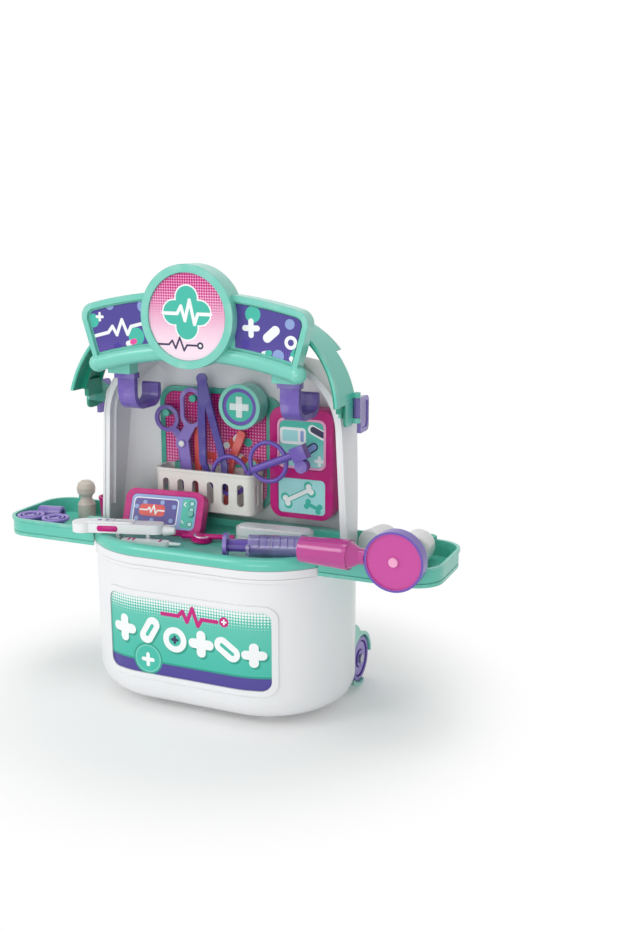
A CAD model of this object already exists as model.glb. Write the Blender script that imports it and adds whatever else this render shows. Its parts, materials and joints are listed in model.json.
"""Looks of a toy doctor case that opens into a small play station.

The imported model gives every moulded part. This script dresses each part in its own finish, adds the
printed films, the soft edges and the small fittings, and sets the studio. Lengths are in metres in the
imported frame: +Z up, front towards -Y, +X to the right seen from the front.
"""

from __future__ import annotations

import json
import logging
import math
from dataclasses import dataclass
from enum import Enum
from typing import Sequence

import bmesh
import bpy
from mathutils import Euler, Matrix, Vector

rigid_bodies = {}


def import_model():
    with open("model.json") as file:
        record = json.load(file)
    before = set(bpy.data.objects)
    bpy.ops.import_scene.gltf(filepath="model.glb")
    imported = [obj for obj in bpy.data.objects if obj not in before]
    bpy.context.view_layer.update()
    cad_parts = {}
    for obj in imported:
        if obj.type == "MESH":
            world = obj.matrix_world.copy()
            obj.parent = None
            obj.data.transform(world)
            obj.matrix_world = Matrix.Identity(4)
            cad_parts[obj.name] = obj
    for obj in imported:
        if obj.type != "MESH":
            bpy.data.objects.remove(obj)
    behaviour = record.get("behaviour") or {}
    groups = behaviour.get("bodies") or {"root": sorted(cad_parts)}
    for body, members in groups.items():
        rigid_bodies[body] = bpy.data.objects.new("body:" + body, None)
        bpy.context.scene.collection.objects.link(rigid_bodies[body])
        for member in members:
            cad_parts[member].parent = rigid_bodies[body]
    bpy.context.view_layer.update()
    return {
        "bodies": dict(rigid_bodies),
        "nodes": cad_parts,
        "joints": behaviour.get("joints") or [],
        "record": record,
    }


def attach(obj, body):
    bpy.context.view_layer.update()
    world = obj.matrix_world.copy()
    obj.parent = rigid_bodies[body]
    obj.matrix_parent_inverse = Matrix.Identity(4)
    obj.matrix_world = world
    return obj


LOG = logging.getLogger("doctor_case")
MM = 0.001
CLEAR = 0.1
INK_EDGE = 0.25 * MM
WORN_POINTINESS = (0.53, 0.62)

Colour = tuple[float, float, float, float]
Point2 = tuple[float, float]
Point3 = tuple[float, float, float]


def linear(written: str) -> Colour:
    """Turn a written screen colour into the linear values that a shader takes.

    Args:
        written: the colour as "#RRGGBB".

    Returns:
        Red, green, blue and an alpha of one.
    """
    parts = [int(written[i:i + 2], 16) / 255 for i in (1, 3, 5)]
    red, green, blue = (p / 12.92 if p <= 0.04045 else ((p + 0.055) / 1.055) ** 2.4 for p in parts)
    return (red, green, blue, 1.0)


class Shade(Enum):
    """Colours of the case's plastics and inks, as they look in daylight."""

    WHITE = "#ECEDEF"
    SOFT_WHITE = "#E4E4E4"
    CREAM = "#E6E3DD"
    BEIGE = "#C4B9AF"
    LIGHT_TEAL = "#74CDBC"
    TRAY_TEAL = "#5FC6B2"
    COVER_TEAL = "#4FC0AC"
    DEEP_TEAL = "#1E9C86"
    BOARD_TEAL = "#3DB09C"
    PURPLE = "#6A50B0"
    LILAC = "#8A74C6"
    DARK_PURPLE = "#44309A"
    MAGENTA = "#C4007A"
    PINK = "#EC4C9F"
    CLEAR_PINK = "#D24FA6"
    CLEAR_LILAC = "#CFC6F0"
    CLEAR_PURPLE = "#8E7CCB"
    DISC_PINK = "#C9489F"
    ROSE_WHITE = "#FBE3F0"
    INNER_TEAL = "#0E8F74"
    SEAM_GREY = "#8F9498"
    RED = "#E0453F"
    STEEL = "#A9ACB2"
    INK_WHITE = "#F4F7F7"
    INK_TEAL = "#3FBCA8"
    INK_PURPLE = "#4A3E95"
    INK_DARK = "#2E2A52"
    INK_BLUE = "#8CA4D8"
    INK_CYAN = "#A6E4E4"
    INK_ROSE = "#F3A9CF"


# ---------------------------------------------------------------- node wiring


class Wiring:
    """Adds and joins the nodes of one shader tree."""

    def __init__(self, tree: bpy.types.NodeTree) -> None:
        """Keep the tree that the nodes go into."""
        self.tree = tree

    def node(self, kind: str, **settings: object) -> bpy.types.Node:
        """Add one node and set its plain properties.

        Args:
            kind: the node's type name.
            settings: property names and values.

        Returns:
            The new node.
        """
        made = self.tree.nodes.new(kind)
        for name, value in settings.items():
            setattr(made, name, value)
        return made

    def put(self, socket: bpy.types.NodeSocket, value: object) -> None:
        """Join a socket to another one, or set its plain value."""
        if isinstance(value, bpy.types.NodeSocket):
            self.tree.links.new(value, socket)
        else:
            socket.default_value = value

    def math(self, operation: str, *values: object, clamp: bool = False) -> bpy.types.NodeSocket:
        """Work out a number from one to three others.

        Args:
            operation: the name of the sum.
            values: numbers or sockets.
            clamp: whether the result is held between zero and one.

        Returns:
            The result's socket.
        """
        made = self.node("ShaderNodeMath", operation=operation, use_clamp=clamp)
        for socket, value in zip(made.inputs, values):
            self.put(socket, value)
        return made.outputs[0]

    def vector(self, operation: str, *values: object, output: str = "Vector") -> bpy.types.NodeSocket:
        """Work out a vector, or its length or dot product.

        Args:
            operation: the name of the sum.
            values: vectors or sockets.
            output: which result is wanted.

        Returns:
            The result's socket.
        """
        made = self.node("ShaderNodeVectorMath", operation=operation)
        for socket, value in zip(made.inputs, values):
            self.put(socket, value)
        return made.outputs[output]

    def scale(self, value: object, factor: object) -> bpy.types.NodeSocket:
        """Multiply a vector or colour by a number.

        Args:
            value: the vector, or its socket.
            factor: the number, or its socket.

        Returns:
            The scaled vector's socket.
        """
        made = self.node("ShaderNodeVectorMath", operation="SCALE")
        self.put(made.inputs[0], value)
        self.put(made.inputs["Scale"], factor)
        return made.outputs[0]

    def mix(self, factor: object, first: object, second: object) -> bpy.types.NodeSocket:
        """Blend two colours.

        Args:
            factor: how much of the second colour shows.
            first: the colour underneath.
            second: the colour on top.

        Returns:
            The blended colour's socket.
        """
        made = self.node("ShaderNodeMix", data_type="RGBA")
        self.put(made.inputs["Factor"], factor)
        self.put(made.inputs["A"], first)
        self.put(made.inputs["B"], second)
        return made.outputs["Result"]

    def spread(self, value: object, low: float, high: float, to_low: float, to_high: float
               ) -> bpy.types.NodeSocket:
        """Map a number smoothly from one range to another.

        Args:
            value: the number or its socket.
            low: the value that gives to_low.
            high: the value that gives to_high.
            to_low: the result at low.
            to_high: the result at high.

        Returns:
            The mapped number's socket.
        """
        made = self.node("ShaderNodeMapRange", interpolation_type="SMOOTHSTEP")
        for name, number in (("Value", value), ("From Min", low), ("From Max", high),
                             ("To Min", to_low), ("To Max", to_high)):
            self.put(made.inputs[name], number)
        return made.outputs["Result"]

    def place(self, group: bpy.types.NodeTree, **values: object) -> bpy.types.Node:
        """Place a shader group and fill its named inputs.

        Args:
            group: the group's tree.
            values: input names, with underscores for spaces, and their values.

        Returns:
            The group node.
        """
        made = self.node("ShaderNodeGroup")
        made.node_tree = group
        for name, value in values.items():
            self.put(made.inputs[name.replace("_", " ")], value)
        return made


class EffectGroups:
    """Shader groups that several finishes share, each built once."""

    def __init__(self) -> None:
        """Build every group."""
        self.grain = self._moulded_grain()
        self.rub = self._edge_rub()
        self.dots = self._halftone_dots()
        self.stroke = self._ink_stroke()
        self.panel = self._ink_panel()

    @staticmethod
    def _start(name: str, inputs: Sequence[tuple[str, str]], outputs: Sequence[tuple[str, str]]
               ) -> tuple[Wiring, bpy.types.NodeOutputs, bpy.types.NodeInputs]:
        """Make an empty group with named sockets.

        Args:
            name: the group's name.
            inputs: names and kinds of its inputs.
            outputs: names and kinds of its outputs.

        Returns:
            Its wiring, the sockets that come in and the sockets that go out.
        """
        tree = bpy.data.node_groups.new(name, "ShaderNodeTree")
        for way, sockets in (("INPUT", inputs), ("OUTPUT", outputs)):
            for label, kind in sockets:
                tree.interface.new_socket(name=label, in_out=way, socket_type=f"NodeSocket{kind}")
        wiring = Wiring(tree)
        return wiring, wiring.node("NodeGroupInput").outputs, wiring.node("NodeGroupOutput").inputs

    def _moulded_grain(self) -> bpy.types.NodeTree:
        """Build the faint orange peel and flow marks of moulded plastic.

        Returns:
            The group, with Shade near one and a small Height.
        """
        wiring, given, out = self._start(
            "Moulded grain", [("Point", "Vector"), ("Fineness", "Float"), ("Mottle", "Float")],
            [("Shade", "Float"), ("Height", "Float")])
        peel = wiring.node("ShaderNodeTexNoise")
        wiring.put(peel.inputs["Vector"], given["Point"])
        wiring.put(peel.inputs["Scale"], given["Fineness"])
        peel.inputs["Detail"].default_value = 3.0
        flow = wiring.node("ShaderNodeTexNoise")
        wiring.put(flow.inputs["Vector"], wiring.vector("MULTIPLY", given["Point"], (1.0, 1.0, 0.35)))
        flow.inputs["Scale"].default_value = 14.0
        swing = wiring.math("SUBTRACT", flow.outputs["Fac"], 0.5)
        wiring.put(out["Shade"], wiring.math("MULTIPLY_ADD", swing, given["Mottle"], 1.0))
        wiring.put(out["Height"], peel.outputs["Fac"])
        return wiring.tree

    def _edge_rub(self) -> bpy.types.NodeTree:
        """Build the pale rubbed line along convex edges.

        Returns:
            The group, whose Mask is one on a worn edge.
        """
        wiring, given, out = self._start(
            "Edge rub", [("Point", "Vector"), ("Amount", "Float")], [("Mask", "Float")])
        geometry = wiring.node("ShaderNodeNewGeometry")
        edge = wiring.spread(geometry.outputs["Pointiness"], *WORN_POINTINESS, 0.0, 1.0)
        patchy = wiring.node("ShaderNodeTexNoise")
        wiring.put(patchy.inputs["Vector"], given["Point"])
        patchy.inputs["Scale"].default_value = 60.0
        worn = wiring.math("MULTIPLY", edge, wiring.spread(patchy.outputs["Fac"], 0.4, 0.65, 0.2, 1.0))
        wiring.put(out["Mask"], wiring.math("MULTIPLY", worn, given["Amount"], clamp=True))
        return wiring.tree

    def _halftone_dots(self) -> bpy.types.NodeTree:
        """Build the screen of printed dots.

        Returns:
            The group, whose Mask is one inside a dot.
        """
        wiring, given, out = self._start(
            "Halftone dots", [("Point", "Vector"), ("Pitch", "Float"), ("Dot", "Float")],
            [("Mask", "Float")])
        count = wiring.math("DIVIDE", 1.0, given["Pitch"])
        cell = wiring.vector("FRACTION", wiring.scale(given["Point"], count))
        reach = wiring.vector("LENGTH", wiring.vector("SUBTRACT", cell, (0.5, 0.5, 0.0)), output="Value")
        inside = wiring.math("SUBTRACT", given["Dot"], reach)
        wiring.put(out["Mask"], wiring.math("MULTIPLY", inside, 12.0, clamp=True))
        return wiring.tree

    def _ink_stroke(self) -> bpy.types.NodeTree:
        """Build a round-ended stroke of ink between two points.

        Returns:
            The group, whose Mask is one on the stroke.
        """
        wiring, given, out = self._start(
            "Ink stroke", [("Point", "Vector"), ("Start", "Vector"), ("End", "Vector"), ("Radius", "Float")],
            [("Mask", "Float")])
        along = wiring.vector("SUBTRACT", given["End"], given["Start"])
        away = wiring.vector("SUBTRACT", given["Point"], given["Start"])
        length = wiring.vector("DOT_PRODUCT", along, along, output="Value")
        share = wiring.math("DIVIDE", wiring.vector("DOT_PRODUCT", away, along, output="Value"),
                            wiring.math("ADD", length, 1e-9), clamp=True)
        beside = wiring.vector("SUBTRACT", away, wiring.scale(along, share))
        reach = wiring.vector("LENGTH", beside, output="Value")
        inside = wiring.math("SUBTRACT", given["Radius"], reach)
        wiring.put(out["Mask"], wiring.math("MULTIPLY", inside, 1 / INK_EDGE, clamp=True))
        return wiring.tree

    def _ink_panel(self) -> bpy.types.NodeTree:
        """Build a rounded rectangle of ink.

        Returns:
            The group, whose Mask is one inside the rectangle.
        """
        wiring, given, out = self._start(
            "Ink panel",
            [("Point", "Vector"), ("Middle", "Vector"), ("Half", "Vector"), ("Corner", "Float")],
            [("Mask", "Float")])
        away = wiring.vector("ABSOLUTE", wiring.vector("SUBTRACT", given["Point"], given["Middle"]))
        beyond = wiring.vector("MAXIMUM", wiring.vector("SUBTRACT", away, given["Half"]), (0.0, 0.0, 0.0))
        reach = wiring.vector("LENGTH", beyond, output="Value")
        inside = wiring.math("SUBTRACT", given["Corner"], reach)
        wiring.put(out["Mask"], wiring.math("MULTIPLY", inside, 1 / INK_EDGE, clamp=True))
        return wiring.tree


# ---------------------------------------------------------------- printed motifs


@dataclass(frozen=True)
class Stroke:
    """One round-ended stroke of ink, in millimetres on its print."""

    start: Point2
    end: Point2
    radius: float
    ink: Shade

    def mask(self, wiring: Wiring, effects: EffectGroups, point: bpy.types.NodeSocket
             ) -> bpy.types.NodeSocket:
        """Place the stroke's mask.

        Args:
            wiring: the material's wiring.
            effects: the shared shader groups.
            point: the place on the print.

        Returns:
            The mask's socket.
        """
        placed = wiring.place(effects.stroke, Point=point, Radius=self.radius * MM,
                              Start=(self.start[0] * MM, self.start[1] * MM, 0.0),
                              End=(self.end[0] * MM, self.end[1] * MM, 0.0))
        return placed.outputs["Mask"]


@dataclass(frozen=True)
class Panel:
    """One rounded rectangle of ink, in millimetres on its print."""

    middle: Point2
    size: Point2
    corner: float
    ink: Shade

    def mask(self, wiring: Wiring, effects: EffectGroups, point: bpy.types.NodeSocket
             ) -> bpy.types.NodeSocket:
        """Place the rectangle's mask.

        Args:
            wiring: the material's wiring.
            effects: the shared shader groups.
            point: the place on the print.

        Returns:
            The mask's socket.
        """
        half = [(size / 2 - self.corner) * MM for size in self.size]
        placed = wiring.place(effects.panel, Point=point, Corner=self.corner * MM, Half=(*half, 0.0),
                              Middle=(self.middle[0] * MM, self.middle[1] * MM, 0.0))
        return placed.outputs["Mask"]


Mark = Stroke | Panel


def spot(x: float, y: float, radius: float, ink: Shade) -> list[Stroke]:
    """Draw a round spot.

    Args:
        x: across the print.
        y: up the print.
        radius: the spot's radius.
        ink: its colour.

    Returns:
        The spot as one stroke.
    """
    return [Stroke((x, y), (x, y), radius, ink)]


def plus(x: float, y: float, reach: float, radius: float, ink: Shade) -> list[Stroke]:
    """Draw a rounded plus sign.

    Args:
        x: across the print.
        y: up the print.
        reach: from the middle to the centre of an arm's round end.
        radius: half an arm's width.
        ink: its colour.

    Returns:
        Two crossing strokes.
    """
    return [Stroke((x - reach, y), (x + reach, y), radius, ink),
            Stroke((x, y - reach), (x, y + reach), radius, ink)]


def pill(x: float, y: float, reach: float, radius: float, turn: float, inks: tuple[Shade, Shade]
         ) -> list[Stroke]:
    """Draw a two-coloured capsule.

    Args:
        x: across the print.
        y: up the print.
        reach: from the middle to the centre of a round end.
        radius: the capsule's radius.
        turn: its slope in degrees.
        inks: the colours of the two halves.

    Returns:
        The whole capsule, and a stroke over its far half.
    """
    dx, dy = reach * math.cos(math.radians(turn)), reach * math.sin(math.radians(turn))
    return [Stroke((x - dx, y - dy), (x + dx, y + dy), radius, inks[0]),
            Stroke((x + 0.3 * dx, y + 0.3 * dy), (x + dx, y + dy), radius, inks[1])]


def bone(x: float, y: float, reach: float, radius: float, turn: float, ink: Shade) -> list[Stroke]:
    """Draw a plain bone: a shaft with two knobs at each end.

    Args:
        x: across the print.
        y: up the print.
        reach: from the middle to the knobs.
        radius: half the shaft's width.
        turn: its slope in degrees.
        ink: its colour.

    Returns:
        The shaft and four knobs.
    """
    ux, uy = math.cos(math.radians(turn)), math.sin(math.radians(turn))
    strokes = [Stroke((x - reach * ux, y - reach * uy), (x + reach * ux, y + reach * uy), radius, ink)]
    for along in (-1, 1):
        for side in (-1, 1):
            kx = x + along * reach * ux - side * 1.25 * radius * uy
            ky = y + along * reach * uy + side * 1.25 * radius * ux
            strokes += spot(kx, ky, 1.45 * radius, ink)
    return strokes


def pulse(x: float, y: float, width: float, height: float, radius: float, ink: Shade, rise: float = 0.0
          ) -> list[Stroke]:
    """Draw a pulse line.

    Args:
        x: where it starts.
        y: its resting height there.
        width: how far it runs.
        height: how far its peaks go.
        radius: half the line's width.
        ink: its colour.
        rise: how much higher its far end is.

    Returns:
        The line as joined strokes.
    """
    shape = ((0, 0), (0.3, 0), (0.38, 0.55), (0.46, -0.5), (0.56, 1.0), (0.66, -0.75), (0.73, 0), (1, 0))
    points = [(x + width * along, y + height * up + rise * along) for along, up in shape]
    return [Stroke(a, b, radius, ink) for a, b in zip(points, points[1:])]


# ---------------------------------------------------------------- finishes


@dataclass(frozen=True)
class Finish:
    """What a part is made of: one named material."""

    name: str

    def build(self, effects: EffectGroups) -> bpy.types.Material:
        """Make the material.

        Args:
            effects: the shared shader groups.

        Returns:
            The finished material.
        """
        material = bpy.data.materials.new(self.name)
        material.use_nodes = True
        self.paint(Wiring(material.node_tree), material.node_tree.nodes["Principled BSDF"], effects)
        return material

    def paint(self, wiring: Wiring, shader: bpy.types.Node, effects: EffectGroups) -> None:
        """Fill in the shader, each kind of finish in its own way."""
        raise NotImplementedError

    @staticmethod
    def _rough(wiring: Wiring, shader: bpy.types.Node, grain: bpy.types.Node, swing: float, low: float
               ) -> None:
        """Let the grain vary the roughness.

        Args:
            wiring: the material's wiring.
            shader: its surface.
            grain: the placed grain group.
            swing: how much the roughness varies.
            low: the least roughness.
        """
        level = wiring.math("MULTIPLY_ADD", grain.outputs["Height"], swing, low)
        wiring.put(shader.inputs["Roughness"], level)

    @staticmethod
    def _soft_edge(wiring: Wiring, radius: float) -> bpy.types.NodeSocket:
        """Return a normal that rounds every edge by a radius in millimetres."""
        bevel = wiring.node("ShaderNodeBevel", samples=3)
        bevel.inputs["Radius"].default_value = radius * MM
        return bevel.outputs["Normal"]


@dataclass(frozen=True)
class MouldedFinish(Finish):
    """Injection-moulded plastic with a fine grain, rubbed edges and a soft coat."""

    shade: Shade
    roughness: float = 0.3
    coat: float = 0.25
    coat_roughness: float = 0.12
    grain: float = 0.02
    grain_depth: float = 0.4
    fineness: float = 1400.0
    mottle: float = 0.06
    rub: float = 0.25
    rub_white: float = 0.45
    edge_round: float = 0.5
    shine: float = 0.5

    def paint(self, wiring: Wiring, shader: bpy.types.Node, effects: EffectGroups) -> None:
        """Give the shader its plastic colour, worn edges, grain and coat."""
        point = wiring.node("ShaderNodeTexCoord").outputs["Object"]
        grain = wiring.place(effects.grain, Point=point, Fineness=self.fineness, Mottle=self.mottle)
        base = linear(self.shade.value)[:3]
        pale = tuple(self.rub_white + (1 - self.rub_white) * part for part in base) + (1.0,)
        toned = wiring.scale(base, grain.outputs["Shade"])
        worn = wiring.place(effects.rub, Point=point, Amount=self.rub)
        wiring.put(shader.inputs["Base Color"], wiring.mix(worn.outputs["Mask"], toned, pale))
        self._rough(wiring, shader, grain, 0.12, self.roughness - 0.06)
        shader.inputs["Coat Weight"].default_value = self.coat
        shader.inputs["Coat Roughness"].default_value = self.coat_roughness
        shader.inputs["Specular IOR Level"].default_value = self.shine
        bump = wiring.node("ShaderNodeBump")
        bump.inputs["Strength"].default_value = self.grain
        bump.inputs["Distance"].default_value = self.grain_depth * MM
        wiring.put(bump.inputs["Height"], grain.outputs["Height"])
        wiring.put(bump.inputs["Normal"], self._soft_edge(wiring, self.edge_round))
        wiring.put(shader.inputs["Normal"], bump.outputs["Normal"])


@dataclass(frozen=True)
class CanopyFinish(MouldedFinish):
    """The canopy's plastic: teal outside and along the rim, deep green inside.

    The canopy is the case's rounded front plan stood upright, so one distance tells its skins apart.
    """

    inside: Shade = Shade.INNER_TEAL
    flat_half: float = 52.0
    centre_z: float = 312.0
    cap_y: float = 12.0
    cap_start: float = 51.0
    skin_middle: float = 43.9

    def paint(self, wiring: Wiring, shader: bpy.types.Node, effects: EffectGroups) -> None:
        """Paint the plastic, then colour what lies nearer than the middle of the skin."""
        super().paint(wiring, shader, effects)
        place = wiring.node("ShaderNodeSeparateXYZ")
        wiring.put(place.inputs[0], wiring.node("ShaderNodeTexCoord").outputs["Object"])
        outward = wiring.math("SUBTRACT", wiring.math("ABSOLUTE", place.outputs["X"]), self.flat_half * MM)
        side = wiring.math("MAXIMUM", outward, 0.0)
        rise = wiring.math("SUBTRACT", place.outputs["Z"], self.centre_z * MM)
        round_part = self._length(wiring, side, rise)
        cap = wiring.math("MAXIMUM", wiring.math("SUBTRACT", place.outputs["Y"], self.cap_y * MM), 0.0)
        reach = self._length(wiring, wiring.math("SUBTRACT", round_part, self.cap_start * MM), cap)
        inner = wiring.math("LESS_THAN", reach, self.skin_middle * MM)
        painted = shader.inputs["Base Color"].links[0].from_socket
        wiring.put(shader.inputs["Base Color"], wiring.mix(inner, painted, linear(self.inside.value)))

    @staticmethod
    def _length(wiring: Wiring, across: bpy.types.NodeSocket, up: bpy.types.NodeSocket
                ) -> bpy.types.NodeSocket:
        """Return the length of two joined distances."""
        joined = wiring.node("ShaderNodeCombineXYZ")
        wiring.put(joined.inputs["X"], across)
        wiring.put(joined.inputs["Y"], up)
        return wiring.vector("LENGTH", joined.outputs[0], output="Value")


@dataclass(frozen=True)
class RimmedFinish(MouldedFinish):
    """The worktop's plastic: teal above, with the white rim of the case below it and a fine dark seam."""

    below: Shade = Shade.WHITE
    seam: Shade = Shade.SEAM_GREY
    rim_top: float = 166.4
    seam_height: float = 0.7

    def paint(self, wiring: Wiring, shader: bpy.types.Node, effects: EffectGroups) -> None:
        """Paint the plastic, then the seam and the white rim by their height."""
        super().paint(wiring, shader, effects)
        place = wiring.node("ShaderNodeSeparateXYZ")
        wiring.put(place.inputs[0], wiring.node("ShaderNodeTexCoord").outputs["Object"])
        colour = shader.inputs["Base Color"].links[0].from_socket
        for top, shade in ((self.rim_top + self.seam_height, self.seam), (self.rim_top, self.below)):
            under = wiring.math("LESS_THAN", place.outputs["Z"], top * MM)
            colour = wiring.mix(under, colour, linear(shade.value))
        wiring.put(shader.inputs["Base Color"], colour)


@dataclass(frozen=True)
class ClearFinish(Finish):
    """Tinted see-through plastic."""

    shade: Shade
    roughness: float = 0.08
    clearness: float = 0.6
    refraction: float = 1.38
    coat: float = 0.4
    edge_round: float = 0.4

    def paint(self, wiring: Wiring, shader: bpy.types.Node, effects: EffectGroups) -> None:
        """Give the shader its tint, its clearness and soft edges."""
        point = wiring.node("ShaderNodeTexCoord").outputs["Object"]
        grain = wiring.place(effects.grain, Point=point, Fineness=500.0, Mottle=0.16)
        toned = wiring.scale(linear(self.shade.value)[:3], grain.outputs["Shade"])
        wiring.put(shader.inputs["Base Color"], toned)
        self._rough(wiring, shader, grain, 0.05, self.roughness)
        shader.inputs["Transmission Weight"].default_value = self.clearness
        shader.inputs["IOR"].default_value = self.refraction
        shader.inputs["Coat Weight"].default_value = self.coat
        wiring.put(shader.inputs["Normal"], self._soft_edge(wiring, self.edge_round))


@dataclass(frozen=True)
class MetalFinish(Finish):
    """Brushed steel of the pins, screws and axle."""

    shade: Shade = Shade.STEEL
    roughness: float = 0.32
    brushed: Point3 = (1.0, 12.0, 12.0)

    def paint(self, wiring: Wiring, shader: bpy.types.Node, effects: EffectGroups) -> None:
        """Give the shader its metal, with a grain drawn out along X."""
        point = wiring.node("ShaderNodeTexCoord").outputs["Object"]
        stretched = wiring.vector("MULTIPLY", point, self.brushed)
        grain = wiring.place(effects.grain, Point=stretched, Fineness=260.0, Mottle=0.2)
        toned = wiring.scale(linear(self.shade.value)[:3], grain.outputs["Shade"])
        wiring.put(shader.inputs["Base Color"], toned)
        self._rough(wiring, shader, grain, 0.2, self.roughness - 0.1)
        shader.inputs["Metallic"].default_value = 1.0


@dataclass(frozen=True)
class PrintFinish(Finish):
    """Ink printed on a plastic film: a ground that fades, a dot screen and marks."""

    origin: Point3
    low: Shade
    high: Shade
    fade: Point2
    marks: Sequence[Mark] = ()
    dot_ink: Shade | None = None
    dot_fade: Point2 = (0.0, 1.0)
    dot_size: Point2 = (0.0, 0.5)
    dot_pitch: float = 2.2
    round_fade: bool = False
    tilt: Point3 = (0.0, 0.0, 0.0)
    roughness: float = 0.36
    coat: float = 0.12
    coat_roughness: float = 0.1

    def paint(self, wiring: Wiring, shader: bpy.types.Node, effects: EffectGroups) -> None:
        """Lay the ground, the dots and the marks on the film, in the print's own plane."""
        place = wiring.node("ShaderNodeMapping", vector_type="TEXTURE")
        wiring.put(place.inputs["Vector"], wiring.node("ShaderNodeTexCoord").outputs["Object"])
        place.inputs["Location"].default_value = [part * MM for part in self.origin]
        place.inputs["Rotation"].default_value = [math.radians(part) for part in self.tilt]
        local = wiring.node("ShaderNodeSeparateXYZ")
        wiring.put(local.inputs[0], place.outputs[0])
        flat = wiring.node("ShaderNodeCombineXYZ")
        wiring.put(flat.inputs["X"], local.outputs["X"])
        wiring.put(flat.inputs["Y"], local.outputs["Z"])
        point = flat.outputs[0]
        away = wiring.vector("LENGTH", point, output="Value") if self.round_fade else local.outputs["Z"]
        low, high = (edge * MM for edge in self.fade)
        share = wiring.spread(away, low, high, 0.0, 1.0)
        colour = wiring.mix(share, linear(self.low.value), linear(self.high.value))
        if self.dot_ink is not None:
            start, end = (edge * MM for edge in self.dot_fade)
            size = wiring.spread(away, start, end, *self.dot_size)
            dots = wiring.place(effects.dots, Point=point, Pitch=self.dot_pitch * MM, Dot=size)
            colour = wiring.mix(dots.outputs["Mask"], colour, linear(self.dot_ink.value))
        for mark in self.marks:
            colour = wiring.mix(mark.mask(wiring, effects, point), colour, linear(mark.ink.value))
        grain = wiring.place(effects.grain, Point=place.outputs[0], Fineness=900.0, Mottle=0.08)
        wiring.put(shader.inputs["Base Color"], wiring.scale(colour, grain.outputs["Shade"]))
        self._rough(wiring, shader, grain, 0.1, self.roughness)
        shader.inputs["Coat Weight"].default_value = self.coat
        shader.inputs["Coat Roughness"].default_value = self.coat_roughness


class Dresser:
    """Gives CAD nodes and new pieces their materials, each finish built once."""

    def __init__(self, frame: dict) -> None:
        """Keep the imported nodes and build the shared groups."""
        self.nodes = frame["nodes"]
        self.effects = EffectGroups()
        self.made: dict[str, bpy.types.Material] = {}

    def material(self, finish: Finish) -> bpy.types.Material:
        """Return the finish's material, made at its first use."""
        if finish.name not in self.made:
            self.made[finish.name] = finish.build(self.effects)
        return self.made[finish.name]

    def dress(self, finish: Finish, *names: str) -> None:
        """Give CAD nodes one finish.

        Args:
            finish: what they are made of.
            names: the nodes' names.
        """
        for name in names:
            mesh = self.nodes[name].data
            mesh.materials.clear()
            mesh.materials.append(self.material(finish))
            LOG.info("%s is %s", name, finish.name)


# ---------------------------------------------------------------- finishes by name

WHITE_SHELL = MouldedFinish("white shell plastic", Shade.WHITE, roughness=0.3, coat=0.35, edge_round=0.8)
SOFT_WHITE = MouldedFinish("soft white plastic", Shade.SOFT_WHITE, roughness=0.38, edge_round=1.2)
CREAM = MouldedFinish("cream basket plastic", Shade.CREAM, roughness=0.4, edge_round=0.7)
BEIGE = MouldedFinish("beige plastic", Shade.BEIGE, roughness=0.5, coat=0.1)
LIGHT_TEAL = MouldedFinish("light teal plastic", Shade.LIGHT_TEAL, roughness=0.3, coat=0.35, edge_round=1.0)
TRAY_TEAL = MouldedFinish("tray teal plastic", Shade.TRAY_TEAL, roughness=0.34, coat=0.3, edge_round=0.9)
CANOPY_TEAL = CanopyFinish("canopy teal plastic", Shade.COVER_TEAL, roughness=0.32, coat=0.3, edge_round=0.8)
WORKTOP_TEAL = RimmedFinish("worktop teal plastic", Shade.TRAY_TEAL, roughness=0.32, edge_round=1.0)
ARM_TEAL = MouldedFinish("hinge arm plastic", Shade.COVER_TEAL, roughness=0.34, coat=0.3)
BOARD_TEAL = MouldedFinish("board teal plastic", Shade.BOARD_TEAL, roughness=0.36, edge_round=0.8)
PURPLE = MouldedFinish("purple plastic", Shade.PURPLE, roughness=0.32)
LILAC = MouldedFinish("lilac plastic", Shade.LILAC, roughness=0.36)
DARK_PURPLE = MouldedFinish("dark purple plastic", Shade.DARK_PURPLE, roughness=0.3)
MAGENTA = MouldedFinish("magenta plastic", Shade.MAGENTA, roughness=0.3, coat=0.05, rub=0.08, shine=0.3,
                        edge_round=1.2)
ROSE = MouldedFinish("rose plastic", Shade.INK_ROSE, roughness=0.3)
MIRROR = MetalFinish("mirror film", Shade.ROSE_WHITE, roughness=0.16)
RED = MouldedFinish("red plastic", Shade.RED, roughness=0.35)
STEEL = MetalFinish("brushed steel")
CLEAR_PINK = ClearFinish("clear pink plastic", Shade.CLEAR_PINK, clearness=0.3)
CLEAR_PURPLE = ClearFinish("clear purple plastic", Shade.CLEAR_PURPLE, clearness=0.45)
CLEAR_LILAC = ClearFinish("clear lilac plastic", Shade.CLEAR_LILAC, clearness=0.8, roughness=0.05)


# ---------------------------------------------------------------- mesh building


@dataclass(frozen=True)
class Seat:
    """Where a piece sits: an origin in millimetres and turns in degrees, about X first and then Z."""

    x: float = 0.0
    y: float = 0.0
    z: float = 0.0
    tip: float = 0.0
    turn: float = 0.0

    def matrix(self) -> Matrix:
        """Return the seat as a matrix in metres."""
        moved = Matrix.Translation(Vector((self.x, self.y, self.z)) * MM)
        turned = Euler((math.radians(self.tip), 0.0, math.radians(self.turn))).to_matrix().to_4x4()
        return moved @ turned


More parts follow.
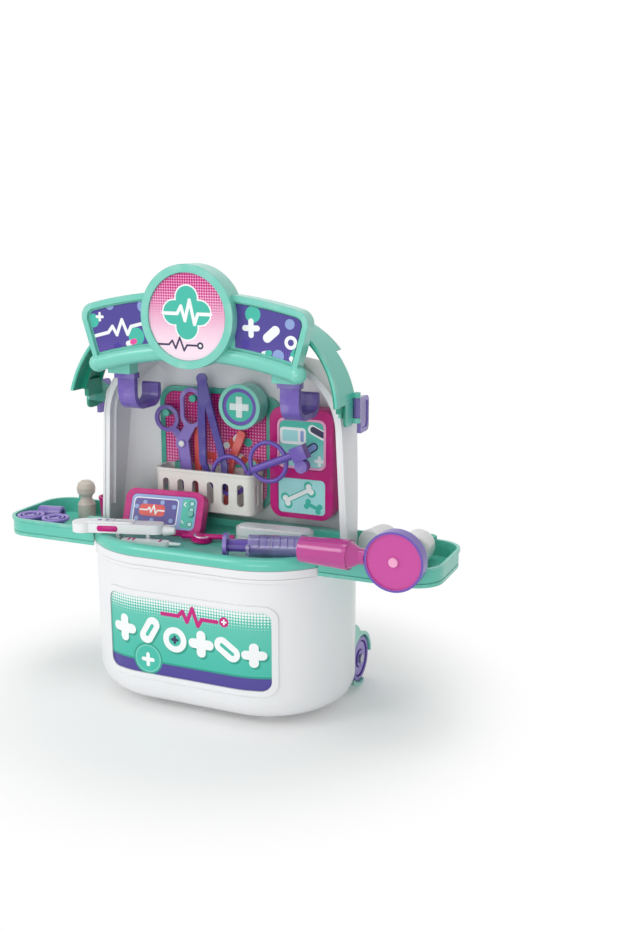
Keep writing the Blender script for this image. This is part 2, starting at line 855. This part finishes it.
class Bench:
    """Builds loose mesh pieces and hands them to the frame."""

    def __init__(self, dresser: Dresser) -> None:
        """Keep the dresser that finishes the pieces."""
        self.dresser = dresser

    @staticmethod
    def _object(name: str, mesh: bmesh.types.BMesh, seat: Seat) -> bpy.types.Object:
        """Turn a finished bmesh into an object at its seat.

        Args:
            name: the piece's name.
            mesh: its geometry in millimetres.
            seat: where it sits.

        Returns:
            The new object.
        """
        bmesh.ops.recalc_face_normals(mesh, faces=mesh.faces)
        bmesh.ops.scale(mesh, vec=(MM, MM, MM), verts=mesh.verts)
        mesh.transform(seat.matrix())
        data = bpy.data.meshes.new(name)
        mesh.to_mesh(data)
        mesh.free()
        for face in data.polygons:
            face.use_smooth = True
        made = bpy.data.objects.new(name, data)
        bpy.context.scene.collection.objects.link(made)
        return made

    @staticmethod
    def _skin(mesh: bmesh.types.BMesh, rings: Sequence[Sequence[bmesh.types.BMVert]], closed: bool) -> None:
        """Join rings of points with faces.

        Args:
            mesh: the geometry that they belong to.
            rings: the rings in order.
            closed: whether the last ring joins the first; otherwise both are capped.
        """
        following = rings[1:] + rings[:1] if closed else rings[1:]
        for one, two in zip(rings, following):
            for i in range(len(one)):
                j = (i + 1) % len(one)
                mesh.faces.new((one[i], one[j], two[j], two[i]))
        if not closed:
            mesh.faces.new(rings[0][::-1])
            mesh.faces.new(rings[-1])

    def give(self, made: bpy.types.Object, finish: Finish, body: str) -> bpy.types.Object:
        """Finish a piece and let it ride on a body.

        Args:
            made: the piece.
            finish: what it is made of.
            body: the body that it moves with.

        Returns:
            The same piece.
        """
        made.data.materials.append(self.dresser.material(finish))
        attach(made, body)
        LOG.info("piece %s rides on %s", made.name, body)
        return made

    def revolved(self, name: str, profile: Sequence[Point2], seat: Seat, steps: int = 64
                 ) -> bpy.types.Object:
        """Turn a closed profile about the seat's Z axis.

        Args:
            name: the piece's name.
            profile: radius and height of each point, in order round the profile.
            seat: where it sits.
            steps: how many flats make the round.

        Returns:
            The ring or disc.
        """
        mesh = bmesh.new()
        rings = []
        for step in range(steps):
            angle = math.tau * step / steps
            rings.append([mesh.verts.new((max(r, 0.01) * math.cos(angle), max(r, 0.01) * math.sin(angle), h))
                          for r, h in profile])
        for one, two in zip(rings, rings[1:] + rings[:1]):
            for i in range(len(profile)):
                j = (i + 1) % len(profile)
                mesh.faces.new((one[i], two[i], two[j], one[j]))
        bmesh.ops.remove_doubles(mesh, verts=mesh.verts, dist=0.012)
        return self._object(name, mesh, seat)

    def plate(self, name: str, outline: Sequence[Point2], depth: float, crown: float, seat: Seat
              ) -> bpy.types.Object:
        """Build a plate with a rounded-over front, facing the seat's -Y.

        Args:
            name: the piece's name.
            outline: X and Z of its edge points.
            depth: how thick it is.
            crown: how far the front's edge is rounded.
            seat: where its back's middle sits.

        Returns:
            The plate.
        """
        mesh = bmesh.new()
        middle = Vector((sum(x for x, _ in outline), sum(z for _, z in outline))) / len(outline)
        reach = max((Vector(point) - middle).length for point in outline)
        layers = [(0.0, 0.0), (0.0, depth - crown)]
        layers += [(crown * (1 - math.cos(a)), depth - crown + crown * math.sin(a))
                   for a in (math.radians(step) for step in (30, 60, 90))]
        rings = []
        for inset, height in layers:
            ring = []
            for point in outline:
                drawn = middle + (Vector(point) - middle) * (1 - inset / reach)
                ring.append(mesh.verts.new((drawn.x, -height, drawn.y)))
            rings.append(ring)
        self._skin(mesh, rings, closed=False)
        return self._object(name, mesh, seat)

    def frame(self, name: str, outline: Sequence[Point2], width: float, depth: float, seat: Seat
              ) -> bpy.types.Object:
        """Build a thin raised frame inside an outline, facing the seat's -Y.

        Args:
            name: the piece's name.
            outline: X and Z of its outer edge points, about the seat's origin.
            width: how wide the frame is.
            depth: how far it stands proud.
            seat: where its back's middle sits.

        Returns:
            The frame.
        """
        mesh = bmesh.new()
        section = ((0.0, 0.0), (0.0, 0.7 * depth), (0.25 * width, depth), (0.75 * width, depth),
                   (width, 0.7 * depth), (width, 0.0))
        rings = []
        for inset, height in section:
            ring = []
            for point in outline:
                flat = Vector(point)
                drawn = flat * (1 - inset / flat.length)
                ring.append(mesh.verts.new((drawn.x, -height, drawn.y)))
            rings.append(ring)
        self._skin(mesh, rings, closed=True)
        return self._object(name, mesh, seat)

    def tube(self, name: str, path: Sequence[Point3], radius: float, seat: Seat,
             sides: int = 16) -> bpy.types.Object:
        """Sweep a round section along a path with domed ends.

        Args:
            name: the piece's name.
            path: points in millimetres.
            radius: the section's radius.
            seat: where it sits.
            sides: how many flats make the round.

        Returns:
            The tube.
        """
        mesh = bmesh.new()
        points = [Vector(point) for point in path]
        ends = [(points[0] - (points[1] - points[0]).normalized() * 0.6 * radius, 0.4)]
        ends += [(point, 1.0) for point in points]
        ends.append((points[-1] + (points[-1] - points[-2]).normalized() * 0.6 * radius, 0.4))
        rings = []
        side = (points[1] - points[0]).orthogonal().normalized()
        for index, (centre, share) in enumerate(ends):
            before, after = ends[max(index - 1, 0)][0], ends[min(index + 1, len(ends) - 1)][0]
            along = (after - before).normalized()
            side = (side - along * side.dot(along)).normalized()
            up = along.cross(side)
            rings.append([mesh.verts.new(centre + share * radius * (side * math.cos(a) + up * math.sin(a)))
                          for a in (math.tau * step / sides for step in range(sides))])
        self._skin(mesh, rings, closed=False)
        return self._object(name, mesh, seat)


def rounded_box(width: float, height: float, corner: float) -> list[Point2]:
    """Outline a rounded rectangle.

    Args:
        width: its size along X.
        height: its size along Z.
        corner: the corners' radius.

    Returns:
        Points round the edge.
    """
    points = []
    for quarter, (sx, sz) in enumerate(((1, 1), (-1, 1), (-1, -1), (1, -1))):
        for step in range(7):
            angle = math.radians(90 * quarter + 15 * step)
            points.append((sx * (width / 2 - corner) + corner * math.cos(angle),
                           sz * (height / 2 - corner) + corner * math.sin(angle)))
    return points


def round_outline(radius: float, steps: int = 32) -> list[Point2]:
    """Outline a circle.

    Args:
        radius: its radius.
        steps: how many points.

    Returns:
        Points round the edge.
    """
    return [(radius * math.cos(math.tau * i / steps), radius * math.sin(math.tau * i / steps))
            for i in range(steps)]


# ---------------------------------------------------------------- prints


def capsules(places: Sequence[Point3], inks: tuple[Shade, Shade]) -> list[Mark]:
    """Draw several small capsules.

    Args:
        places: X, Y and slope of each.
        inks: the colours of their halves.

    Returns:
        All their strokes.
    """
    return [mark for x, y, turn in places for mark in pill(x, y, 3.2, 2.6, turn, inks)]


def front_marks() -> list[Mark]:
    """Lay out the front panel: a purple band below, bold white shapes and small magenta ones."""
    shadow, white = Shade.DEEP_TEAL, Shade.INK_WHITE
    marks: list[Mark] = [Panel((0, -46), (240, 40), 1.0, shadow),
                         Panel((0, -48), (240, 40), 1.0, Shade.INK_PURPLE)]
    for radius, ink in ((17, shadow), (15.2, Shade.LIGHT_TEAL), (13.6, Shade.INK_TEAL)):
        marks += spot(-44, -25, radius, ink)
    marks += plus(-44, -26, 5.5, 2.2, white)
    for dx, dy, ink in ((1.8, -2.0, shadow), (0, 0, white)):
        marks += plus(-72 + dx, 4 + dy, 9.5, 5.2, ink)
        marks += pill(-41 + dx, 6 + dy, 7.5, 8.0, 60, (ink, ink))
        marks += spot(-12 + dx, 0 + dy, 13.5, ink)
        marks += plus(18 + dx, 0 + dy, 9.0, 5.2, ink)
        marks += pill(47 + dx, -1 + dy, 7.0, 8.4, -35, (ink, ink))
        marks += plus(75 + dx, -4 + dy, 8.0, 4.8, ink)
    marks += spot(-12, 0, 7, Shade.INK_TEAL) + plus(-12, 0, 3, 1.6, Shade.INK_DARK)
    for start, end in (((-44, 1), (-38, 11)), ((41, 3), (53, -5))):
        marks.append(Stroke(start, end, 2.0, Shade.INK_TEAL))
    marks += pulse(-26, 26, 62, 10, 2.2, Shade.MAGENTA)
    marks += spot(44, 27, 5.4, Shade.MAGENTA) + plus(44, 27, 2.2, 1.0, white)
    return marks


def sign_marks() -> list[Mark]:
    """Lay out the sign's two purple panels: teal patches, white shapes and small dots."""
    marks: list[Mark] = []
    for x, y, radius, ink in ((-112, -8, 7, Shade.INK_TEAL), (-62, -22, 9, Shade.INK_TEAL),
                              (-92, 8, 5, Shade.INK_BLUE), (-54, 8, 6, Shade.INK_BLUE),
                              (66, 4, 8, Shade.INK_TEAL), (112, -34, 8, Shade.INK_TEAL),
                              (92, -34, 6, Shade.INK_BLUE), (104, -4, 5, Shade.INK_BLUE),
                              (-84, -34, 5, Shade.DARK_PURPLE), (58, -24, 5, Shade.DARK_PURPLE)):
        marks += spot(x, y, radius, ink)
    marks += pulse(-113, -24, 62, 9, 1.8, Shade.INK_WHITE, rise=16)
    marks += plus(-104, -4, 3.4, 1.5, Shade.INK_WHITE)
    marks += pill(-68, -28, 4, 2.8, 20, (Shade.INK_WHITE, Shade.PINK))
    marks += plus(64, -9, 6.4, 2.9, Shade.INK_WHITE)
    marks += pill(85, -14, 5.4, 4.6, 40, (Shade.INK_WHITE, Shade.INK_WHITE))
    marks += spot(105, -21, 6.6, Shade.INK_WHITE) + spot(105, -21, 3.2, Shade.INK_PURPLE)
    marks += capsules(((80, -32, 10), (108, -38, -40)), (Shade.INK_WHITE, Shade.INK_TEAL))
    return marks


def emblem_marks() -> list[Mark]:
    """Lay out the round emblem: a teal rounded plus, a dark pulse line and small capsules."""
    marks: list[Mark] = []
    for reach, radius, ink in ((14, 13, Shade.INK_WHITE), (14, 11.6, Shade.INK_TEAL)):
        marks += plus(0, 4, reach, radius, ink)
    marks += pulse(-26, 3, 52, 13, 1.8, Shade.INK_WHITE)
    marks += pulse(-34, -27, 46, 7, 1.1, Shade.INK_DARK)
    marks += spot(14, -27, 3.6, Shade.INK_DARK) + spot(14, -27, 1.7, Shade.INK_WHITE)
    return marks


def board_marks() -> list[Mark]:
    """Lay out the tool board's picture: teal patches, capsules and dark handles."""
    marks: list[Mark] = pill(24, 9, 8, 4.4, 38, (Shade.RED, Shade.INK_WHITE))
    marks += pill(33, -10, 6, 3.6, -30, (Shade.INK_WHITE, Shade.RED))
    for x, y, radius, ink in ((8, -14, 6, Shade.INK_CYAN), (27, -24, 7, Shade.INK_TEAL),
                              (14, 3, 4, Shade.INK_WHITE), (-8, -10, 5, Shade.RED),
                              (40, 8, 5, Shade.INK_TEAL), (2, 20, 4, Shade.RED)):
        marks += spot(x, y, radius, ink)
    marks += [Stroke((-2, -40), (-2, -8), 2.4, Shade.RED),
              Stroke((18, -44), (14, -18), 2.0, Shade.INK_DARK)]
    return marks


def film_marks() -> list[Mark]:
    """Lay out the two films: instruments on a tray above, a plain bone below."""
    marks: list[Mark] = [Panel((-10, 8), (30, 18), 4, Shade.INK_WHITE),
                         Panel((-13, 8), (18, 12), 2, Shade.INK_CYAN),
                         Panel((0.5, 8), (4, 12), 1.6, Shade.INK_BLUE),
                         Stroke((12, 16), (25, 10), 5.0, Shade.INK_WHITE),
                         Stroke((13, 16), (24, 11), 3.4, Shade.INK_DARK),
                         Stroke((7, -7), (14, -2), 4.6, Shade.INK_DARK),
                         Stroke((7, -7), (14, -2), 3.0, Shade.INK_BLUE)]
    marks += capsules(((-20, -14, 20), (-8, -17, -30)), (Shade.INK_WHITE, Shade.PINK))
    marks += plus(20, -17, 4, 1.8, Shade.INK_WHITE)
    marks += [Panel((0, -56), (55, 39), 4.8, Shade.INK_CYAN)]
    marks += bone(-4, -55, 15, 3.4, 28, Shade.INK_TEAL) + bone(-4, -55, 15, 2.3, 28, Shade.INK_WHITE)
    marks += bone(13, -66, 7, 2.2, -20, Shade.INK_TEAL)
    return marks


def screen_marks() -> list[Mark]:
    """Lay out the monitor's face: a purple picture with a pulse line, and a teal key strip."""
    marks: list[Mark] = [Panel((-9, 0), (52, 29), 4, Shade.INK_WHITE),
                         Panel((-9, 0), (50, 27), 3.4, Shade.INK_PURPLE)]
    for x, y in ((-30, -9), (-22, 9), (-12, -10), (-2, 10), (10, -9), (12, 6), (-31, 4)):
        marks += spot(x, y, 2.6, Shade.INK_BLUE)
    marks += [Panel((-13, 1), (30, 13), 4.5, Shade.RED)]
    marks += pulse(-27, 1, 28, 5, 0.9, Shade.INK_WHITE)
    marks += [Panel((28.5, 0), (15, 32), 4, Shade.INK_TEAL)]
    for y in (11, 4, -11):
        marks += spot(32, y, 3.2, Shade.INK_DARK) + spot(32, y, 2.4, Shade.INK_CYAN)
    for start, end in (((23, 10), (25, 12)), ((23, 10), (25, 8)), ((24.5, -10), (22.5, -8))):
        marks.append(Stroke(start, end, 0.7, Shade.INK_WHITE))
    return marks


FRONT_PRINT = PrintFinish("front film", (0, 0, 84), Shade.INK_TEAL, Shade.TRAY_TEAL, (-30, 40),
                          front_marks(), dot_ink=Shade.INK_WHITE, dot_fade=(12, 44), dot_size=(0.0, 0.56),
                          dot_pitch=3.0)
SIGN_PRINT = PrintFinish("sign film", (0, 0, 406), Shade.INK_PURPLE, Shade.INK_PURPLE, (-50, 20),
                         sign_marks(), dot_ink=Shade.PURPLE, dot_fade=(-8, -46), dot_size=(0.0, 0.5),
                         dot_pitch=2.6)
EMBLEM_PRINT = PrintFinish("emblem film", (0, 0, 406), Shade.ROSE_WHITE, Shade.INK_ROSE, (-36, 30),
                           emblem_marks(), dot_ink=Shade.MAGENTA, dot_fade=(-40, 44),
                           dot_size=(0.1, 0.52), dot_pitch=2.6)
BOARD_PRINT = PrintFinish("board film", (-36, 0, 254), Shade.PINK, Shade.MAGENTA, (-60, 30), board_marks(),
                          dot_ink=Shade.INK_ROSE, dot_fade=(60, -60), dot_size=(0.18, 0.5), dot_pitch=3.4)
FILM_PRINT = PrintFinish("instrument films", (74, 0, 269), Shade.INK_CYAN, Shade.INK_TEAL, (-30, 20),
                         film_marks())
SCREEN_PRINT = PrintFinish("monitor film", (-67.04, -4.13, 192.59), Shade.INK_BLUE, Shade.INK_BLUE,
                           (-20, 20), screen_marks(), tilt=(-24, 0, 6), roughness=0.2)
FACE_PRINT = PrintFinish("round face film", (8.5, 0, 305.5), Shade.INK_TEAL, Shade.PURPLE, (15.2, 15.8),
                         (Panel((0, 0), (22.4, 7.4), 0.2, Shade.INK_WHITE),
                          Panel((0, 0), (7.4, 22.4), 0.2, Shade.INK_WHITE)), round_fade=True)
DISC_PRINT = PrintFinish("pink disc plastic", (213.3, 0, 189.5), Shade.DISC_PINK, Shade.PURPLE, (26.4, 27.0),
                         tuple(spot(0, 0, 4.6, Shade.INK_ROSE)), round_fade=True, roughness=0.18)


# ---------------------------------------------------------------- sub-assemblies


@dataclass
class Case:
    """The white case with its worktop, hood, wheels and pull handle."""

    wheel_x: float = 128.0
    wheel_y: float = 62.0
    wheel_z: float = 34.0
    wheel_face: float = 6.0
    hub: float = 8.6
    tyre: float = 25.0
    trim_inset: Point2 = (1.2, 6.2)
    trim_chamfer: float = 1.2
    trim_levels: Point3 = (-2.3, -1.4, -0.9)

    def build(self, dresser: Dresser, bench: Bench) -> None:
        """Dress the case and fit its wheel trims."""
        dresser.dress(WHITE_SHELL, "base_shell", "rear_shell", "hood", "rod_guide", "pull_rod")
        dresser.dress(WORKTOP_TEAL, "worktop")
        dresser.dress(TRAY_TEAL, "side_tray_left", "side_tray_right", "t_handle")
        dresser.dress(LIGHT_TEAL, "fenders")
        dresser.dress(SOFT_WHITE, "feet")
        dresser.dress(PURPLE, "wheel_left", "wheel_right")
        dresser.dress(STEEL, "axle", "rear_screws", "hinge_pins")
        dresser.dress(FRONT_PRINT, "front_panel")
        for side, body in ((-1, "left_wheel"), (1, "right_wheel")):
            seat = Seat(side * (self.wheel_x + self.wheel_face), self.wheel_y, self.wheel_z)
            self._trim(bench, seat, side, body)

    def _trim(self, bench: Bench, seat: Seat, side: int, body: str) -> None:
        """Fit the lilac trim ring in a wheel's dished face.

        Args:
            bench: where pieces are built.
            seat: the middle of the wheel's outer face.
            side: minus one at the left, one at the right.
            body: the wheel's body.
        """
        inner, outer = self.hub + self.trim_inset[0], self.tyre - self.trim_inset[1]
        back, shoulder, front = self.trim_levels
        profile = [(inner, back), (outer, back), (outer, shoulder), (outer - self.trim_chamfer, front),
                   (inner + self.trim_chamfer, front), (inner, shoulder)]
        facing = [(r, -h if side < 0 else h) for r, h in profile]
        ring = bench.revolved(f"{body}_trim", facing, Seat())
        ring.data.transform(seat.matrix() @ Matrix.Rotation(math.radians(90), 4, "Y"))
        bench.give(ring, LILAC, body)


@dataclass
class Canopy:
    """The opened teal canopy with its latches and the sign on its rim."""

    def build(self, dresser: Dresser, bench: Bench) -> None:
        """Dress the canopy, the latches and the sign."""
        dresser.dress(CANOPY_TEAL, "cover")
        dresser.dress(ARM_TEAL, "hinge_arms")
        dresser.dress(CLEAR_PURPLE, "latch_left", "latch_right")
        dresser.dress(STEEL, "latch_pins")
        dresser.dress(LIGHT_TEAL, "sign_frame")
        dresser.dress(PURPLE, "sign_arms")
        dresser.dress(SIGN_PRINT, "sign_prints")
        dresser.dress(EMBLEM_PRINT, "emblem")


@dataclass
class ToolWall:
    """The board, the basket, the films and the tools that hang on the hood's back wall."""

    pivot: Point3 = (-69.0, 42.0, 258.0)
    pad: Point3 = (14.0, 46.9, 238.0)
    film: Point3 = (74.0, 42.1, 269.0)
    rivet: Sequence[Point2] = ((0.0, 0.0), (3.6, 0.0), (3.6, 0.5), (2.6, 1.1), (0.0, 1.2))
    border: Point3 = (55.6, 53.6, 7.8)
    border_width: float = 3.4
    border_depth: float = 0.9
    pad_radius: float = 7.6
    pad_depth: float = 1.4
    pad_crown: float = 0.7

    def build(self, dresser: Dresser, bench: Bench) -> None:
        """Dress the wall's parts and add the small fittings."""
        dresser.dress(BOARD_TEAL, "tool_board")
        dresser.dress(BOARD_PRINT, "board_insert")
        dresser.dress(CREAM, "basket")
        dresser.dress(MAGENTA, "film_frame")
        dresser.dress(FILM_PRINT, "films")
        dresser.dress(PURPLE, "scissor_long", "ring_tool")
        dresser.dress(LILAC, "scissor_short")
        dresser.dress(DARK_PURPLE, "tweezers")
        dresser.dress(LIGHT_TEAL, "head_case")
        dresser.dress(FACE_PRINT, "head_face")
        dresser.dress(RED, "small_tools")
        rivet = bench.revolved("scissor_rivet", self.rivet, Seat())
        x, y, z = self.pivot
        rivet.data.transform(Seat(x, y + CLEAR, z, tip=90).matrix())
        bench.give(rivet, WHITE_SHELL, "short_scissor")
        border = bench.frame("film_border", rounded_box(*self.border), self.border_width, self.border_depth,
                             Seat(*self.film))
        bench.give(border, ROSE, "film_holder")
        pad = bench.plate("swab_pad", round_outline(self.pad_radius), self.pad_depth, self.pad_crown,
                          Seat(*self.pad))
        bench.give(pad, LIGHT_TEAL, "tool_basket")


@dataclass
class DeskTools:
    """The tools that lie on the worktop."""

    probe: Point3 = (-60.0, -52.0, 175.3)
    floor: float = 170.3
    syringe: Point3 = (85.5, -41.5, 182.9)
    syringe_turn: float = 18.0
    barrel: float = 11.0
    marks: Sequence[float] = (-18.0, -11.0, -4.0, 3.0, 10.0, 17.0)
    mark_radius: float = 0.35
    mirror: Point3 = (-11.64, -20.0, 176.75)
    glass: Sequence[Point2] = ((0.0, 0.0), (8.6, 0.0), (8.6, 0.5), (7.8, 0.9), (0.0, 0.9))
    bands: Sequence[float] = (-18.0, -13.0, 16.0)
    band_half: float = 3.4
    band_rise: float = 0.25
    band_radius: float = 0.8
    thermometer: Point2 = (-92.0, -48.0)
    thermometer_turn: float = 16.0
    window: Point3 = (22.0, 6.0, 2.4)
    window_place: Point3 = (-12.0, -8.3, 14.4)
    window_depth: float = 0.8
    window_crown: float = 0.4
    buttons: Sequence[float] = (-22.0, -14.0)
    button_z: float = 20.4
    button: Sequence[Point2] = ((0.0, 0.0), (2.3, 0.0), (2.3, 0.9), (1.5, 1.4), (0.0, 1.5))

    def build(self, dresser: Dresser, bench: Bench) -> None:
        """Dress the tools and add their small parts."""
        dresser.dress(WHITE_SHELL, "thermometer", "probe", "white_tray")
        dresser.dress(MAGENTA, "monitor", "dental_mirror")
        dresser.dress(SCREEN_PRINT, "monitor_screen")
        dresser.dress(BOARD_TEAL, "monitor_key")
        dresser.dress(CLEAR_LILAC, "syringe_barrel")
        dresser.dress(PURPLE, "syringe_plunger")
        dresser.dress(CLEAR_PINK, "hammer_body")
        dresser.dress(DISC_PRINT, "hammer_disc")
        self._thermometer(bench)
        self._syringe_marks(bench)
        x, y, z = self.mirror
        glass = bench.revolved("mirror_glass", self.glass, Seat(x, y, z, tip=6, turn=90))
        bench.give(glass, MIRROR, "mouth_mirror")
        for index, along in enumerate(self.bands):
            arch = [(along, -self.band_half, 0.0), (along, 0.0, self.band_rise),
                    (along, self.band_half, 0.0)]
            band = bench.tube(f"probe_band_{index}", arch, self.band_radius, Seat(*self.probe, turn=10))
            bench.give(band, MAGENTA, "slim_probe")

    def _thermometer(self, bench: Bench) -> None:
        """Fit the thermometer's side window and its buttons."""
        place = Seat(*self.thermometer, self.floor, turn=self.thermometer_turn)
        window = bench.plate("thermometer_window", rounded_box(*self.window), self.window_depth,
                             self.window_crown, Seat())
        window.data.transform(place.matrix() @ Seat(*self.window_place).matrix())
        bench.give(window, MAGENTA, "fever_thermometer")
        for index, x in enumerate(self.buttons):
            cap = bench.revolved(f"thermometer_button_{index}", self.button, Seat())
            cap.data.transform(place.matrix() @ Seat(x, 0, self.button_z).matrix())
            bench.give(cap, LILAC, "fever_thermometer")

    def _syringe_marks(self, bench: Bench) -> None:
        """Fit the printed scale marks round the syringe's barrel."""
        x, y, z = self.syringe
        place = Seat(x, y, z, turn=self.syringe_turn).matrix()
        for index, along in enumerate(self.marks):
            arc = [(along, -(self.barrel + CLEAR) * math.cos(a), (self.barrel + CLEAR) * math.sin(a))
                   for a in (math.radians(step) for step in range(10, 75, 8))]
            mark = bench.tube(f"syringe_mark_{index}", arc, self.mark_radius, Seat())
            mark.data.transform(place)
            bench.give(mark, DARK_PURPLE, "syringe")


@dataclass
class TrayThings:
    """What lies in the two side trays."""

    roll: Point3 = (-222.0, 10.0, 170.7)
    roll_turn: float = 12.0
    roll_half: float = 13.1
    roll_end: Sequence[Point2] = ((5.6, -0.4), (8.7, -0.4), (8.7, 0.3), (8.2, 0.6), (6.1, 0.6), (5.6, 0.3))

    def build(self, dresser: Dresser, bench: Bench) -> None:
        """Dress the tray things."""
        dresser.dress(LILAC, "tray_rings")
        dresser.dress(PURPLE, "roll")
        dresser.dress(BEIGE, "bottle_left")
        dresser.dress(MAGENTA, "cup_left")
        dresser.dress(SOFT_WHITE, "bottle_right_a", "bottle_right_b")
        for index, along in enumerate((-self.roll_half, self.roll_half)):
            ring = bench.revolved(f"roll_end_{index}", self.roll_end, Seat())
            x, y, z = self.roll
            place = Seat(x, y, z, turn=self.roll_turn).matrix() @ Matrix.Rotation(math.radians(90), 4, "Y")
            ring.data.transform(place @ Matrix.Translation((0, 0, along * MM)))
            bench.give(ring, LILAC, "gauze_roll")


@dataclass
class Studio:
    """Floor, lights, world and the camera at the photograph's angle."""

    camera: Point3 = (0.526544, -0.987197, 0.497623)
    pitch: float = 0.220
    yaw: float = 0.406
    lens: float = 64.04
    sensor: float = 36.0
    floor_half: float = 6.0
    floor_glow: float = 0.15
    shadow_reach: float = 0.17
    shadow_end: float = 0.34
    world_light: float = 0.55
    floor_colour: Colour = (0.92, 0.92, 0.92, 1.0)
    floor_roughness: float = 0.9
    floor_shine: float = 0.1
    lamps: Sequence[tuple[str, Point3, float, float]] = (
        ("key", (-1.5, -1.9, 1.9), 1.2, 22.0),
        ("front", (0.35, -2.4, 0.35), 1.2, 15.0),
        ("top", (-0.2, 0.0, 2.2), 1.0, 9.0),
    )
    aim: Point3 = (0.0, 0.0, 0.2)

    def build(self) -> None:
        """Set up the whole studio."""
        self._floor()
        self._world()
        for name, place, size, power in self.lamps:
            self._lamp(name, place, size, power)
        data = bpy.data.cameras.new("camera")
        data.sensor_fit = "HORIZONTAL"
        data.sensor_width = self.sensor
        data.lens = self.lens
        data.clip_start = 0.01
        made = bpy.data.objects.new("camera", data)
        made.location = self.camera
        made.rotation_euler = (math.pi / 2 - self.pitch, 0.0, self.yaw)
        bpy.context.scene.collection.objects.link(made)
        bpy.context.scene.camera = made
        bpy.context.scene.view_settings.view_transform = "Standard"

    def _lamp(self, name: str, place: Point3, size: float, power: float) -> None:
        """Hang one soft square lamp that looks at the case.

        Args:
            name: the lamp's name.
            place: where it hangs.
            size: its side.
            power: its power in watts.
        """
        data = bpy.data.lights.new(name, "AREA")
        data.size = size
        data.energy = power
        made = bpy.data.objects.new(name, data)
        made.location = place
        made.rotation_euler = (Vector(self.aim) - Vector(place)).to_track_quat("-Z", "Y").to_euler()
        bpy.context.scene.collection.objects.link(made)

    def _floor(self) -> None:
        """Lay the plain pale floor, which keeps the case's shadow."""
        mesh = bmesh.new()
        bmesh.ops.create_grid(mesh, x_segments=8, y_segments=8, size=self.floor_half)
        data = bpy.data.meshes.new("floor")
        mesh.to_mesh(data)
        mesh.free()
        made = bpy.data.objects.new("floor", data)
        bpy.context.scene.collection.objects.link(made)
        material = bpy.data.materials.new("pale floor")
        material.use_nodes = True
        wiring = Wiring(material.node_tree)
        shader = material.node_tree.nodes["Principled BSDF"]
        shader.inputs["Base Color"].default_value = self.floor_colour
        shader.inputs["Roughness"].default_value = self.floor_roughness
        shader.inputs["Specular IOR Level"].default_value = self.floor_shine
        glow = wiring.node("ShaderNodeEmission")
        mixed = wiring.node("ShaderNodeMixShader")
        away = wiring.vector("LENGTH", wiring.node("ShaderNodeTexCoord").outputs["Object"], output="Value")
        plain = wiring.spread(away, self.shadow_reach, self.shadow_end, self.floor_glow, 1.0)
        wiring.put(mixed.inputs[0], wiring.math("MULTIPLY", self._seen(wiring), plain))
        wiring.put(mixed.inputs[1], shader.outputs[0])
        wiring.put(mixed.inputs[2], glow.outputs[0])
        wiring.put(material.node_tree.nodes["Material Output"].inputs["Surface"], mixed.outputs[0])
        data.materials.append(material)

    @staticmethod
    def _seen(wiring: Wiring) -> bpy.types.NodeSocket:
        """Return one for rays that come from the camera, a reflection or through glass."""
        path = wiring.node("ShaderNodeLightPath").outputs
        seen = wiring.math("MAXIMUM", path["Is Camera Ray"], path["Is Glossy Ray"])
        return wiring.math("MAXIMUM", seen, path["Is Transmission Ray"])

    def _world(self) -> None:
        """Give the world a plain light and a white look."""
        world = bpy.data.worlds.new("studio")
        world.use_nodes = True
        wiring = Wiring(world.node_tree)
        shader = world.node_tree.nodes["Background"]
        shader.inputs["Color"].default_value = (1.0, 1.0, 1.0, 1.0)
        level = wiring.math("MULTIPLY_ADD", self._seen(wiring), 1.0 - self.world_light, self.world_light)
        wiring.put(shader.inputs["Strength"], level)
        bpy.context.scene.world = world


def main() -> None:
    """Load the frame, dress every sub-assembly, and set the studio."""
    logging.basicConfig(level=logging.INFO, format="%(name)s: %(message)s")
    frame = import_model()
    dresser = Dresser(frame)
    bench = Bench(dresser)
    for assembly in (Case(), Canopy(), ToolWall(), DeskTools(), TrayThings()):
        LOG.info("building %s", type(assembly).__name__)
        assembly.build(dresser, bench)
    Studio().build()
    bpy.context.view_layer.update()


if __name__ == "__main__":
    main()
